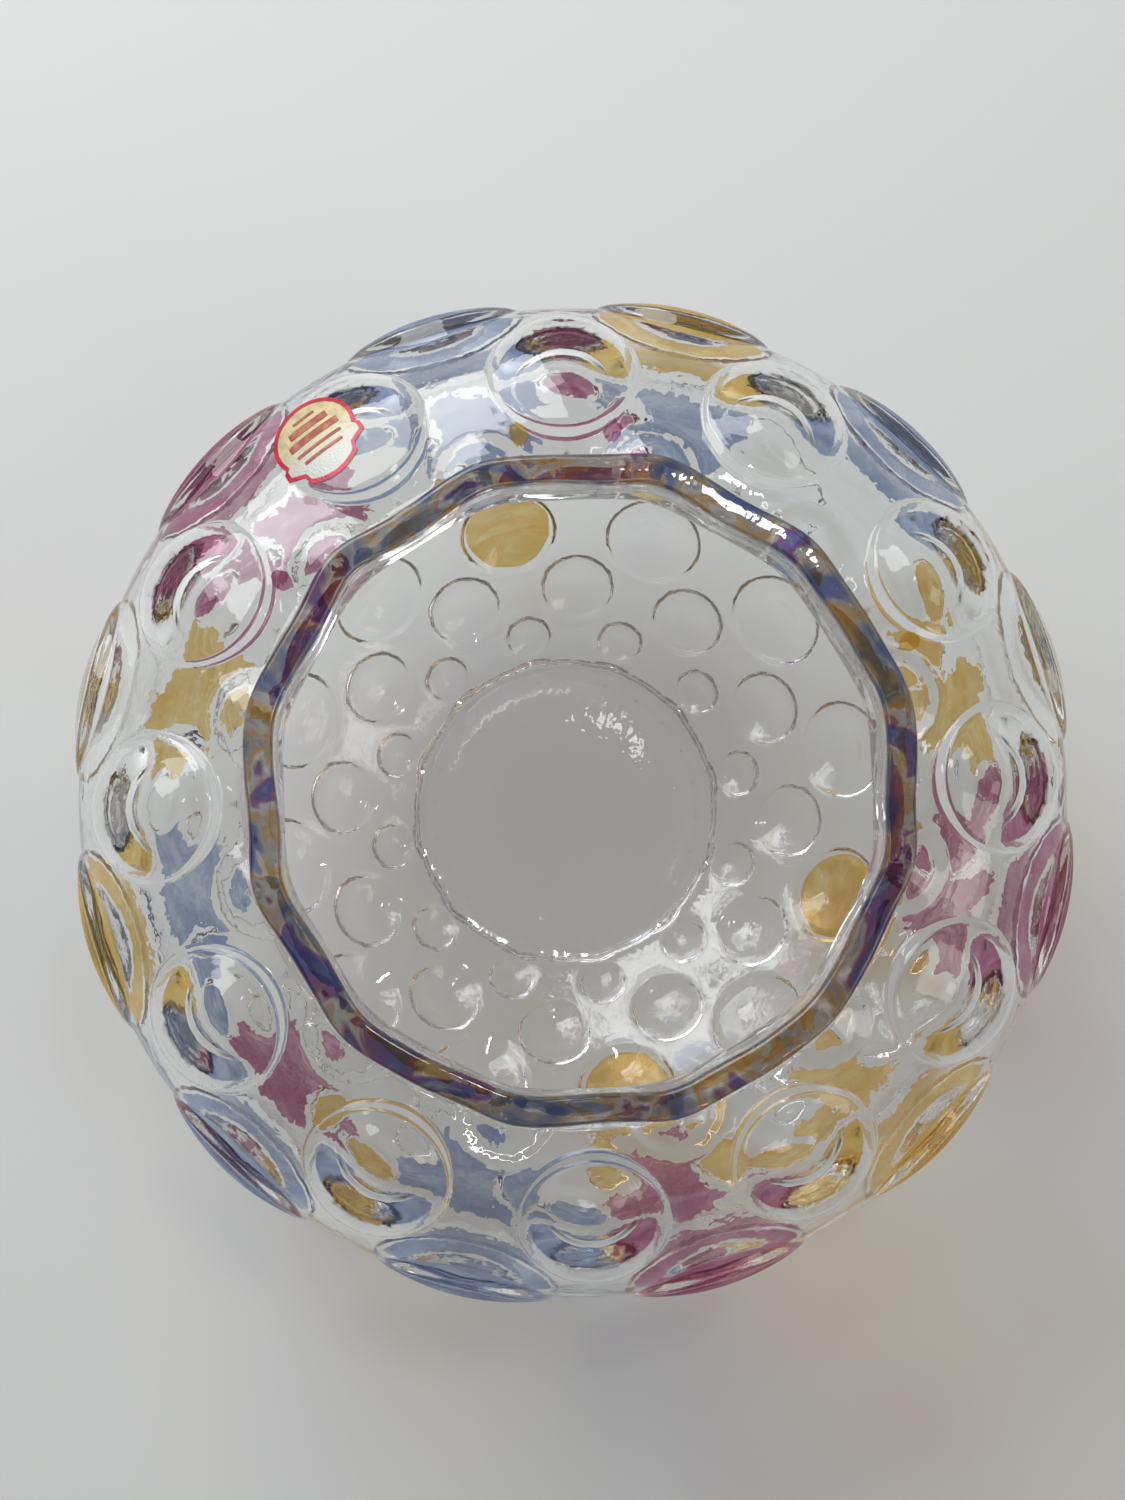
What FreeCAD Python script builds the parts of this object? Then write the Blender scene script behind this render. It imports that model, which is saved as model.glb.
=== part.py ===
import FreeCAD, Part
import math
import os

# Mould-blown optic bowl in clear crystal, with hand-stained lenses and webs and a foil label.
# The origin is at the centre of the foot, +Z is up, and every size is in millimetres.
# Azimuths run clockwise from +Y, as seen from above.

# Overall form.
HEIGHT = 98.0
BELLY_RADIUS = 73.5
BELLY_Z = 58.0
WALL = 4.8
FLOOR_Z = 8.0

# Foot: a flat ring round a shallow recess.
FOOT_OUTER_RADIUS = 25.6
FOOT_INNER_RADIUS = 23.3
FOOT_RECESS = 1.6
FOOT_BEVEL = 1.0

# Outer meridian: a wide arc up from the foot, a tighter arc to the belly, then the shoulder arc.
WIDE_ARC = 76.1
BELLY_ARC = 41.8
SHOULDER_ARC = 26.0
ARC_START = 20.0
ARC_BLEND = 60.0

# Collar: twelve soft sides, with a corner over each small neck lens.
COLLAR_OUTER_FLAT = 44.3
COLLAR_INNER_FLAT = 39.8
COLLAR_CORNER_ROUND = 14.0
COLLAR_ROOT_Z = 81.0
FLARE_OUTER_RADIUS = 45.0
FLARE_INNER_RADIUS = 37.0
FLARE_RISE = 5.3
RIM_ROUND = 0.8

# The soft glass turns a little as it leaves the mould, so the lower rows lead the belly row clockwise.
LOW_TWIST = 5.0
MIDDLE_TWIST = 3.0

# Lens rows, from the foot up. Each has twelve lenses.
# start: azimuth of the first lens, before the twist. angle: tilt of its outward normal from straight down.
# rise: height of the face's centre over the web. face and hollow: radii of curvature.
# bore: diameter of the hollow behind the lens, on the inner wall.
LENS_COUNT = 12
STEP = 360.0 / LENS_COUNT
ROWS = {
    "row1": dict(start=STEP / 2, angle=21.9, diameter=8.1, rise=1.5, face=8.0, hollow=5.0, bore=6.5),
    "row2": dict(start=0.0, angle=28.4, diameter=12.5, rise=1.8, face=14.0, hollow=7.0, bore=9.5),
    "row3": dict(start=STEP / 2, angle=37.0, diameter=16.2, rise=1.8, face=22.0, hollow=9.0, bore=12.0),
    "row4": dict(start=0.0, angle=55.5, diameter=21.5, rise=1.6, face=35.0, hollow=12.0, bore=15.0),
    "row5": dict(start=STEP / 2, angle=90.0, diameter=27.7, rise=1.5, face=36.0, hollow=16.0, bore=20.0),
    "row6": dict(start=0.0, angle=151.0, diameter=21.0, rise=1.6, face=35.0, hollow=12.0, bore=16.0),
    "row7": dict(start=STEP / 2, angle=175.0, diameter=13.0, rise=1.2, face=16.0, hollow=7.0, bore=9.0),
}
TWISTS = {"row1": LOW_TWIST, "row2": LOW_TWIST, "row3": LOW_TWIST, "row4": MIDDLE_TWIST}
# The neck lenses sit further in than the end of the shoulder arc, half under the collar.
INSET = {"row7": 4.3}
LENS_ROOT = 3.4

# Stain: a thin film fired on the outside of some lenses and of the webs between them.
# The azimuths of the stained places are those before the twist.
FILM = 0.15
STAIN_MARGIN = 0.94
LENS_STAINS = {
    "amber_lenses_row3": ("row3", (105.0, 165.0, 345.0)),
    "amber_lenses_row4": ("row4", (60.0, 150.0, 210.0)),
    "violet_lenses_row4": ("row4", (0.0, 90.0, 300.0)),
    "blue_lenses_row4": ("row4", (180.0, 240.0, 330.0)),
    "amber_lenses_row5": ("row5", (15.0, 135.0, 255.0)),
    "blue_lenses_row5": ("row5", (45.0, 195.0, 225.0, 345.0)),
    "violet_lenses_row5": ("row5", (105.0, 165.0, 315.0)),
}
WEB_STAINS = {
    "amber_webs": (75.0, 135.0, 285.0),
    "blue_webs": (15.0, 195.0, 255.0, 345.0),
    "violet_webs": (105.0, 165.0, 225.0, 315.0),
}
WEB_FROM = 45.0
WEB_TO = 69.0
WEB_HALF_WIDTH = 8.0
WEB_CLEARANCE = 0.7
STROKE_STAINS = {
    "amber_neck_strokes": (67.5, 352.5),
    "violet_neck_strokes": (7.5, 307.5),
}
STROKE_FROM = 169.5
STROKE_TO = 174.5
STROKE_HALF_WIDTH = 1.3

# Label: a foil shield, with a coloured border and plain print bars, on one shoulder lens.
LABEL_ROW = "row6"
LABEL_AZIMUTH = 330.0
LABEL_OFFSET = 4.3
LABEL_DROP = 1.6
LABEL_WIDTH = 13.0
LABEL_LENGTH = 14.5
LABEL_BORDER = 0.9
LABEL_GLUE = 0.05
LABEL_FOIL = 0.12
LABEL_PRINT = 0.06
BAR_COUNT = 3
BAR_WIDTH = 7.0
BAR_HEIGHT = 1.1
BAR_PITCH = 2.4

ORIGIN = FreeCAD.Vector(0, 0, 0)
AXIS_Y = FreeCAD.Vector(0, 1, 0)
AXIS_Z = FreeCAD.Vector(0, 0, 1)
QUARTER = 90.0
NEARLY_UPRIGHT = 0.9
NEARLY_LEVEL = 0.01


def point(radius, z):
    """A point of the XZ half plane."""
    return FreeCAD.Vector(radius, 0, z)


def line(start, end):
    return Part.LineSegment(start, end).toShape()


def arc(start, middle, end):
    return Part.Arc(start, middle, end).toShape()


def direction(angle):
    """The outward normal at a tilt from straight down."""
    turn = math.radians(angle)
    return point(math.sin(turn), -math.cos(turn))


def arc_centre(angle):
    """The centre and radius of the meridian's arc at a tilt."""
    belly_centre = point(BELLY_RADIUS - BELLY_ARC, BELLY_Z)
    if angle > QUARTER:
        return point(BELLY_RADIUS - SHOULDER_ARC, BELLY_Z), SHOULDER_ARC
    if angle > ARC_BLEND:
        return belly_centre, BELLY_ARC
    return belly_centre - direction(ARC_BLEND) * (WIDE_ARC - BELLY_ARC), WIDE_ARC


def meridian(angle, offset=0.0):
    """A point of the outer meridian, moved outwards by the offset."""
    centre, radius = arc_centre(angle)
    return centre + direction(angle) * (radius + offset)


def meridian_edges(start, end, offset=0.0):
    """The meridian's arcs from one tilt to another."""
    stops = [start] + [a for a in (ARC_BLEND, QUARTER) if start < a < end] + [end]
    edges = []
    for low, high in zip(stops, stops[1:]):
        middle = (low + high) / 2
        centre, radius = arc_centre(middle)
        points = [centre + direction(a) * (radius + offset) for a in (low, middle, high)]
        edges.append(arc(*points))
    return edges


def spin(edges, angle=360.0):
    """The solid swept by a closed outline about the vertical axis."""
    return Part.Face(Part.Wire(edges)).revolve(ORIGIN, AXIS_Z, angle)


def turned_to(shape, azimuth):
    """A copy turned from +X to an azimuth."""
    copy = shape.copy()
    copy.rotate(ORIGIN, AXIS_Z, QUARTER - azimuth)
    return copy


def on_row(shape, name):
    """A copy moved from the local frame, with +Z outwards, onto a row's lens axis at +X."""
    angle = ROWS[name]["angle"]
    copy = shape.copy()
    copy.rotate(ORIGIN, AXIS_Y, 180.0 - angle)
    copy.translate(meridian(angle) - point(INSET.get(name, 0.0), 0))
    return copy


def azimuths(name):
    start = ROWS[name]["start"] + TWISTS.get(name, 0.0)
    return [start + STEP * i for i in range(LENS_COUNT)]


def outer_form():
    """The outside of the bowl below its collar, filled to the axis."""
    heel = meridian(ARC_START)
    top = meridian(180.0)
    corners = [
        point(0, FOOT_RECESS),
        point(FOOT_INNER_RADIUS - FOOT_BEVEL, FOOT_RECESS),
        point(FOOT_INNER_RADIUS, 0),
        point(FOOT_OUTER_RADIUS, 0),
        heel,
    ]
    edges = [line(a, b) for a, b in zip(corners, corners[1:])]
    edges += meridian_edges(ARC_START, 180.0)
    axis_top = point(0, top.z)
    edges += [line(top, axis_top), line(axis_top, corners[0])]
    return spin(edges)


def inner_form():
    """The inside of the bowl up to the flare under its mouth, as a solid to take away."""
    floor_edge = meridian(ARC_START, -WALL)
    top = meridian(180.0, -WALL)
    flare_start = point(FLARE_OUTER_RADIUS, top.z)
    flare_end = point(FLARE_INNER_RADIUS, top.z + FLARE_RISE)
    axis_top = point(0, flare_end.z)
    floor = point(0, FLOOR_Z)
    edges = [line(floor, floor_edge)]
    edges += meridian_edges(ARC_START, 180.0, -WALL)
    edges += [line(top, flare_start), line(flare_start, flare_end)]
    edges += [line(flare_end, axis_top), line(axis_top, floor)]
    return spin(edges)


def twelve_sided(flat_radius, bottom, top):
    """An upright prism with soft corners, at the half-step azimuths."""
    corner_radius = flat_radius / math.cos(math.radians(STEP / 2))
    corners = []
    for i in range(LENS_COUNT + 1):
        turn = math.radians(STEP / 2 + STEP * i)
        corners.append(FreeCAD.Vector(corner_radius * math.sin(turn), corner_radius * math.cos(turn), bottom))
    prism = Part.Face(Part.makePolygon(corners)).extrude(AXIS_Z * (top - bottom))
    uprights = [e for e in prism.Edges if abs(e.tangentAt(e.FirstParameter).z) > NEARLY_UPRIGHT]
    return prism.makeFillet(COLLAR_CORNER_ROUND, uprights)


def lens_cap(row):
    """One raised lens, about the local +Z axis."""
    half = row["diameter"] / 2
    face = row["face"]
    centre = point(0, row["rise"] - face)
    edge_tilt = math.asin(half / face)
    rim = centre + point(half, face * math.cos(edge_tilt))
    middle = centre + point(face * math.sin(edge_tilt / 2), face * math.cos(edge_tilt / 2))
    crown = point(0, row["rise"])
    root = -LENS_ROOT
    edges = [
        line(point(0, root), point(half, root)),
        line(point(half, root), rim),
        arc(rim, middle, crown),
        line(crown, point(0, root)),
    ]
    return spin(edges)


def lens_hollow(row):
    """The ball that hollows the wall behind one lens."""
    depth = math.sqrt(row["hollow"] ** 2 - (row["bore"] / 2) ** 2)
    return Part.makeSphere(row["hollow"], point(0, -WALL - depth))


def lens_film(row):
    """The stain on one lens: a thin cap on its face."""
    half = row["diameter"] / 2 * STAIN_MARGIN
    face = row["face"]
    centre = point(0, row["rise"] - face)
    tilt = math.asin(half / face)
    inner = [centre + point(math.sin(t), math.cos(t)) * face for t in (0.0, tilt / 2, tilt)]
    outer = [centre + point(math.sin(t), math.cos(t)) * (face + FILM) for t in (tilt, tilt / 2, 0.0)]
    edges = [arc(*inner), line(inner[2], outer[0]), arc(*outer), line(outer[2], inner[0])]
    return spin(edges)


def wall_film(start, end, half_width):
    """A thin patch on the web surface, centred on +X."""
    inner = meridian_edges(start, end)
    outer = meridian_edges(start, end, FILM)
    sides = [
        line(meridian(start), meridian(start, FILM)),
        line(meridian(end), meridian(end, FILM)),
    ]
    outline = Part.Wire(Part.__sortEdges__(inner + outer + sides))
    patch = Part.Face(outline).revolve(ORIGIN, AXIS_Z, 2 * half_width)
    patch.rotate(ORIGIN, AXIS_Z, -half_width)
    return patch


def web_film():
    """The stain on one web, narrowed by the two lenses beside it."""
    radius = ROWS["row4"]["diameter"] / 2 + WEB_CLEARANCE
    keep_out = on_row(Part.makeCylinder(radius, 2 * LENS_ROOT, point(0, -LENS_ROOT)), "row4")
    patch = wall_film(WEB_FROM, WEB_TO, WEB_HALF_WIDTH)
    for side in (-STEP / 2, STEP / 2):
        post = keep_out.copy()
        post.rotate(ORIGIN, AXIS_Z, side)
        patch = patch.cut(post)
    return patch


def glass_body():
    """The one blown piece: foot, wall, lenses, shoulder and collar."""
    collar = twelve_sided(COLLAR_OUTER_FLAT, COLLAR_ROOT_Z, HEIGHT)
    mouth = twelve_sided(COLLAR_INNER_FLAT, COLLAR_ROOT_Z, HEIGHT + WALL)
    caps = []
    hollows = []
    for name, row in ROWS.items():
        cap = on_row(lens_cap(row), name)
        hollow = on_row(lens_hollow(row), name)
        caps += [turned_to(cap, azimuth) for azimuth in azimuths(name)]
        hollows += [turned_to(hollow, azimuth) for azimuth in azimuths(name)]
    outside = outer_form().multiFuse([collar] + caps)
    body = outside.cut([inner_form(), mouth] + hollows)
    rim = [e for e in body.Edges if e.BoundBox.ZMin > HEIGHT - NEARLY_LEVEL]
    return body.makeFillet(RIM_ROUND, rim)


def label_outline(inset):
    """The shield: a rounded lower end and a notched upper end, in the local plane."""
    half = LABEL_WIDTH / 2 - inset
    tip = LABEL_LENGTH / 2 - inset
    waist = tip - half
    notch = half / 2
    shoulder = FreeCAD.Vector(half, waist, 0)
    peak = FreeCAD.Vector(notch, tip, 0)
    dip = FreeCAD.Vector(0, tip - notch / 2, 0)
    left_peak = FreeCAD.Vector(-notch, tip, 0)
    left_shoulder = FreeCAD.Vector(-half, waist, 0)
    right_waist = FreeCAD.Vector(half, -waist, 0)
    left_waist = FreeCAD.Vector(-half, -waist, 0)
    edges = [
        line(shoulder, peak),
        line(peak, dip),
        line(dip, left_peak),
        line(left_peak, left_shoulder),
        line(left_shoulder, left_waist),
        arc(left_waist, FreeCAD.Vector(0, -tip, 0), right_waist),
        line(right_waist, shoulder),
    ]
    return Part.Face(Part.Wire(edges))


def on_label_face(flat, bottom, thickness):
    """A flat outline laid on the label's lens as a curved sheet of a given thickness."""
    row = ROWS[LABEL_ROW]
    face = row["face"]
    centre = point(0, row["rise"] - face)
    shell = Part.makeSphere(face + bottom + thickness, centre).cut(Part.makeSphere(face + bottom, centre))
    column = flat.extrude(AXIS_Z * face)
    # The shield's length runs along the meridian, with its rounded end towards the belly.
    column.rotate(ORIGIN, AXIS_Z, QUARTER)
    column.translate(FreeCAD.Vector(LABEL_DROP, LABEL_OFFSET, row["rise"] - LENS_ROOT))
    return turned_to(on_row(shell.common(column), LABEL_ROW), LABEL_AZIMUTH)


def label_bars():
    """Generic print: a short stack of plain bars."""
    bars = []
    for i in range(BAR_COUNT):
        low = BAR_PITCH * (i - (BAR_COUNT - 1) / 2) - BAR_HEIGHT / 2
        bar = Part.makePlane(BAR_WIDTH, BAR_HEIGHT, FreeCAD.Vector(-BAR_WIDTH / 2, low, 0))
        bars.append(on_label_face(bar, LABEL_GLUE + LABEL_FOIL, LABEL_PRINT))
    return bars


def group(shapes):
    """Separate solids that share one node."""
    solids = [solid for shape in shapes for solid in shape.Solids]
    return solids[0] if len(solids) == 1 else Part.makeCompound(solids)


def save(node, shapes):
    shape = group(shapes)
    shape.exportStep("parts/" + node + ".step")
    print(node, len(shape.Solids), "solids", round(shape.Volume, 2), "mm3", "valid", shape.isValid())


def main():
    os.makedirs("parts", exist_ok=True)
    save("glass_body", [glass_body()])
    for node, (name, places) in LENS_STAINS.items():
        film = on_row(lens_film(ROWS[name]), name)
        save(node, [turned_to(film, azimuth + TWISTS.get(name, 0.0)) for azimuth in places])
    web = web_film()
    for node, places in WEB_STAINS.items():
        save(node, [turned_to(web, azimuth + MIDDLE_TWIST) for azimuth in places])
    stroke = wall_film(STROKE_FROM, STROKE_TO, STROKE_HALF_WIDTH)
    for node, places in STROKE_STAINS.items():
        save(node, [turned_to(stroke, azimuth) for azimuth in places])
    border = label_outline(0.0).cut(label_outline(LABEL_BORDER))
    save("label_adhesive", [on_label_face(label_outline(0.0), 0.0, LABEL_GLUE)])
    save("label_foil", [on_label_face(label_outline(0.0), LABEL_GLUE, LABEL_FOIL)])
    save("label_border", [on_label_face(border, LABEL_GLUE + LABEL_FOIL, LABEL_PRINT)])
    save("label_print_bars", label_bars())


main()
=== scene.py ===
import math
import bpy
import numpy as np
from mathutils import Matrix, Vector, noise
from mathutils.geometry import delaunay_2d_cdt


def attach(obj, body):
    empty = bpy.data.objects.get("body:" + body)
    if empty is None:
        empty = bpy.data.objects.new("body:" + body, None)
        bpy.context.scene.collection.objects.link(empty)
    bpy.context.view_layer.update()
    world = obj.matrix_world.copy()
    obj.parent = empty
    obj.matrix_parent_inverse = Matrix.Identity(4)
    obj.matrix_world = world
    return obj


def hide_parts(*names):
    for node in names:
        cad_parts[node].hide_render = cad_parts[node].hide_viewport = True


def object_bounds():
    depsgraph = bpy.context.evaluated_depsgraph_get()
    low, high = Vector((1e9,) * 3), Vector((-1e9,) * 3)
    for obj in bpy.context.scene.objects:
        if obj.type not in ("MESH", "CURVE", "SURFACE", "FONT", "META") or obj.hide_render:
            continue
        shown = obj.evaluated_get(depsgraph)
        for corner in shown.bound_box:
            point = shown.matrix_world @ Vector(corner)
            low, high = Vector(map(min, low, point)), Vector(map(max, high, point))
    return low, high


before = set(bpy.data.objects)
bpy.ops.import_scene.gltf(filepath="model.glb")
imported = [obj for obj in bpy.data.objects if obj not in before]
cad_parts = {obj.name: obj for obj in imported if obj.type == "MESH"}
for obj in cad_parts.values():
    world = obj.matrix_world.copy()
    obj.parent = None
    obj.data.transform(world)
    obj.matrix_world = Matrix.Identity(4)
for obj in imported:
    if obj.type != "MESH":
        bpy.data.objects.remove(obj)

cad_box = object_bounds()

# Shapes are worked out in millimetres and written to meshes in metres.
MM = 0.001
HEIGHT = cad_box[1].z / MM

# The glass meridian, as in the frame: arcs given by the tilt of the outward normal from straight down.
BELLY_RADIUS = 73.5
BELLY_Z = 58.0
WALL = 4.8
WIDE_ARC = 76.1
BELLY_ARC = 41.8
SHOULDER_ARC = 26.0
ARC_START = 20.0
ARC_BLEND = 60.0
FLOOR_BLEND = 8.0
FOOT_PATH = [(0, 1.6), (21.4, 1.6), (23.2, 0.0), (25.7, 0.0), (25.7, 2.6), (28.0, 3.64)]
COLLAR_RADIUS = 45.5
MOUTH_RADIUS = 41.4
COLLAR_FILLET = 2.2
RIM_ROUND = 0.9
FLARE_ROUND = 4.5

# Twelve lenses to a row. angle: place on the meridian. radius: edge of the lens.
# rise and face: the height and the radius of curvature of its face.
# bore and depth: radius and depth of the hollow behind it.
LENS_COUNT = 12
STEP = math.radians(360 / LENS_COUNT)
HALF_STEP = STEP / 2
ROWS = {
    1: dict(start=HALF_STEP, angle=21.9, radius=4.05, rise=1.5, face=8.0, bore=3.7, depth=1.3),
    2: dict(start=0.0, angle=28.4, radius=6.25, rise=1.8, face=14.0, bore=5.6, depth=2.0),
    3: dict(start=HALF_STEP, angle=37.0, radius=8.1, rise=1.8, face=22.0, bore=7.2, depth=2.4),
    4: dict(start=0.0, angle=55.5, radius=10.75, rise=1.6, face=35.0, bore=9.2, depth=2.7),
    5: dict(start=HALF_STEP, angle=90.0, radius=13.85, rise=1.5, face=36.0, bore=12.0, depth=3.3),
    6: dict(start=0.0, angle=151.0, radius=10.5, rise=1.6, face=35.0, bore=9.6, depth=3.1),
}
NECK_LENS = dict(radius=6.6, centre=45.5, rise=1.5, hollow=5.5, depth=1.4)

SHOULDER_TOP = BELLY_Z + SHOULDER_ARC

# Spacing of the mesh's points. SAMPLE is that of the meridian they are taken from.
SAMPLE = 0.1
WEB_STEP = 1.35
LEAST_WEB_STEP = 0.18
TURN_STEP = math.radians(9)
COLLAR_COLUMNS = 18
FACE_STEP = 1.56
FACE_RING_GAP = 1.25
HOLLOW_STEP = 1.5
HOLLOW_RING_GAP = 1.15
# The wall is triangulated on a plan of turn and length, where widths are true at the radius PLAN_SCALE.
PLAN_SCALE = 55.0
AXIS_GAP = 1.5
EDGE_CLEARANCE = 0.55

# A lens's edge: how far past it the face turns over, with the share of the drop still left there.
FACE_MARGIN = 0.45
RING_CROWDING = 0.85
EDGE_LIP = 0.18
EDGE_LIP_DROP = 0.06
EDGE_TURN = [(0.0, 0.72), (0.16, 0.34), (0.38, 0.09)]
EDGE_FOOT = 0.75

# Surface life: the share of the ripple that a lens face has, and the height of the rim's waves.
FACE_RIPPLE = 0.3
WOBBLE = 0.45

# The photo shows the lower rows turned clockwise against the belly row. The twist runs between two heights.
TWIST = math.radians(5.0)
TWIST_FROM = 46.0
TWIST_TO = 21.0

# Azimuths, clockwise from +Y seen from above, of the stained lenses and webs.
LENS_STAINS = {
    "amber_lenses_row3": (3, (105, 165, 345), "amber"),
    "amber_lenses_row4": (4, (60, 150, 210), "amber"),
    "violet_lenses_row4": (4, (0, 90, 300), "violet"),
    "blue_lenses_row4": (4, (180, 240, 330), "blue"),
    "amber_lenses_row5": (5, (15, 135, 255), "amber"),
    "blue_lenses_row5": (5, (45, 195, 225, 345), "blue"),
    "violet_lenses_row5": (5, (105, 165, 315), "violet"),
}
WEB_STAINS = {
    "amber_webs": ((75, 135, 285), "amber"),
    "blue_webs": ((15, 195, 255, 345), "blue"),
    "violet_webs": ((105, 165, 225, 315), "violet"),
}
STROKE_STAINS = {
    "amber_neck_strokes": ((67.5, 352.5), "amber"),
    "violet_neck_strokes": ((7.5, 307.5), "violet"),
}
STROKE_RADIUS = 51.0
FILM_UNDER = -0.08
FILM_OVER = 0.05

# The camera: the bowl's axis leans a little up and right of the line of sight, and the bowl is
# turned a little.
AXIS_RIGHT = 0.0221
AXIS_UP = 0.0557
ROLL = math.radians(-2)
BELLY_IN_VIEW = Vector((1.71, -7.27, -374.0))
FOCAL_LENGTH = 60.0
FILM_LONG_SIDE = 36.0


# ---------------------------------------------------------------- the meridian

def arc_points(centre, radius, start, end):
    """Points of an arc, by the tilt in degrees from straight down."""
    count = max(2, math.ceil(abs(math.radians(end - start)) * radius / SAMPLE))
    turns = np.radians(np.linspace(start, end, count + 1))
    return [(centre[0] + radius * math.sin(t), centre[1] - radius * math.cos(t)) for t in turns]


def softened(points, times=3):
    """A polyline with its corners cut, again and again."""
    for _ in range(times):
        cut = [points[0]]
        for (ar, az), (br, bz) in zip(points, points[1:]):
            cut.append((0.75 * ar + 0.25 * br, 0.75 * az + 0.25 * bz))
            cut.append((0.25 * ar + 0.75 * br, 0.25 * az + 0.75 * bz))
        points = cut + [points[-1]]
    return points


SHOULDER_CENTRE = (BELLY_RADIUS - SHOULDER_ARC, BELLY_Z)
BELLY_CENTRE = (BELLY_RADIUS - BELLY_ARC, BELLY_Z)
WIDE_CENTRE = (
    BELLY_CENTRE[0] - (WIDE_ARC - BELLY_ARC) * math.sin(math.radians(ARC_BLEND)),
    BELLY_CENTRE[1] + (WIDE_ARC - BELLY_ARC) * math.cos(math.radians(ARC_BLEND)),
)


def wall_point(angle, inset=0.0):
    """A point of the outer meridian, or of the inner one at the wall's inset."""
    if angle > 90:
        centre, radius = SHOULDER_CENTRE, SHOULDER_ARC
    elif angle > ARC_BLEND:
        centre, radius = BELLY_CENTRE, BELLY_ARC
    else:
        centre, radius = WIDE_CENTRE, WIDE_ARC
    turn = math.radians(angle)
    reach = radius - inset
    return centre[0] + reach * math.sin(turn), centre[1] - reach * math.cos(turn)


def meridian():
    """The whole section, from under the foot, over the rim, to the middle of the floor."""
    path = softened(FOOT_PATH)
    path += arc_points(WIDE_CENTRE, WIDE_ARC, ARC_START, ARC_BLEND)
    path += arc_points(BELLY_CENTRE, BELLY_ARC, ARC_BLEND, 90)
    path += arc_points(SHOULDER_CENTRE, SHOULDER_ARC, 90, 180)
    root = (COLLAR_RADIUS + COLLAR_FILLET, SHOULDER_TOP + COLLAR_FILLET)
    path += arc_points(root, COLLAR_FILLET, 0, -90)
    path += arc_points((COLLAR_RADIUS - RIM_ROUND, HEIGHT - RIM_ROUND), RIM_ROUND, 90, 180)
    path += arc_points((MOUTH_RADIUS + RIM_ROUND, HEIGHT - RIM_ROUND), RIM_ROUND, 180, 270)
    flare_top = SHOULDER_TOP - WALL + FLARE_ROUND
    path += arc_points((MOUTH_RADIUS + FLARE_ROUND, flare_top), FLARE_ROUND, -90, 0)
    path += arc_points(SHOULDER_CENTRE, SHOULDER_ARC - WALL, 180, 90)
    path += arc_points(BELLY_CENTRE, BELLY_ARC - WALL, 90, ARC_BLEND)
    path += arc_points(WIDE_CENTRE, WIDE_ARC - WALL, ARC_BLEND, ARC_START)
    edge = wall_point(ARC_START, WALL)
    turn = math.radians(ARC_START)
    blend_centre = (edge[0] - FLOOR_BLEND * math.sin(turn), edge[1] + FLOOR_BLEND * math.cos(turn))
    path += arc_points(blend_centre, FLOOR_BLEND, ARC_START, 0)
    path.append((0.0, path[-1][1]))
    return np.array(path)


def resampled(path):
    """Length along the path, radius and height, evenly spaced."""
    steps = np.hypot(*np.diff(path, axis=0).T)
    keep = np.concatenate([[True], steps > 1e-6])
    path = path[keep]
    run = np.concatenate([[0], np.cumsum(np.hypot(*np.diff(path, axis=0).T))])
    s = np.arange(0, run[-1], SAMPLE)
    s = np.append(s, run[-1])
    return s, np.interp(s, run, path[:, 0]), np.interp(s, run, path[:, 1])


S, R, Z = resampled(meridian())
TR = np.gradient(R, S)
TZ = np.gradient(Z, S)
TR, TZ = TR / np.hypot(TR, TZ), TZ / np.hypot(TR, TZ)
RIM_S = S[int(np.argmax(Z))]


def at(s):
    """Radius, height and the tangent at a length along the meridian."""
    return np.interp(s, S, R), np.interp(s, S, Z), np.interp(s, S, TR), np.interp(s, S, TZ)


def length_at(r, z, inside):
    """The length along the meridian of its point nearest to (r, z), outside or inside the glass."""
    side = S > RIM_S if inside else S < RIM_S
    gap = np.hypot(R - r, Z - z) + np.where(side, 0, 1e6)
    return float(S[int(np.argmin(gap))])


# ---------------------------------------------------------------- lens frames

class Lens:
    """A lens face or its hollow: its place on the meridian and its tangent plane."""

    def __init__(self, row, inside):
        self.row = row
        r, z = wall_point(row["angle"], WALL if inside else 0.0)
        self.s = length_at(r, z, inside)
        self.r, self.z, self.tr, self.tz = (float(v) for v in at(self.s))
        self.nr, self.nz = self.tz, -self.tr

    def place(self, x, y, h):
        """Cylindrical place of a tangent-plane point: x round the bowl, y along the meridian, h out."""
        radial = self.r + y * self.tr + h * self.nr
        z = self.z + y * self.tz + h * self.nz
        return np.arctan2(x, radial), np.hypot(radial, x), z

    def on_wall(self, x, y):
        """The turn, length and height over the tangent plane of the wall's point at (x, y)."""
        turn = x / self.r
        s = self.s + y
        for _ in range(12):
            r, z, _, _ = at(s)
            radial = r * np.cos(turn) - self.r
            along = radial * self.tr + (z - self.z) * self.tz
            s = s + 0.8 * (y - along)
            turn = turn + 0.9 * (x - r * np.sin(turn)) / r
        r, z, _, _ = at(s)
        radial = r * np.cos(turn) - self.r
        return turn, s, radial * self.nr + (z - self.z) * self.nz


def face_height(row, rho):
    """Height of a lens face over its tangent plane, at a distance from its middle."""
    return row["rise"] - row["face"] + np.sqrt(row["face"] ** 2 - rho ** 2)


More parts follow.
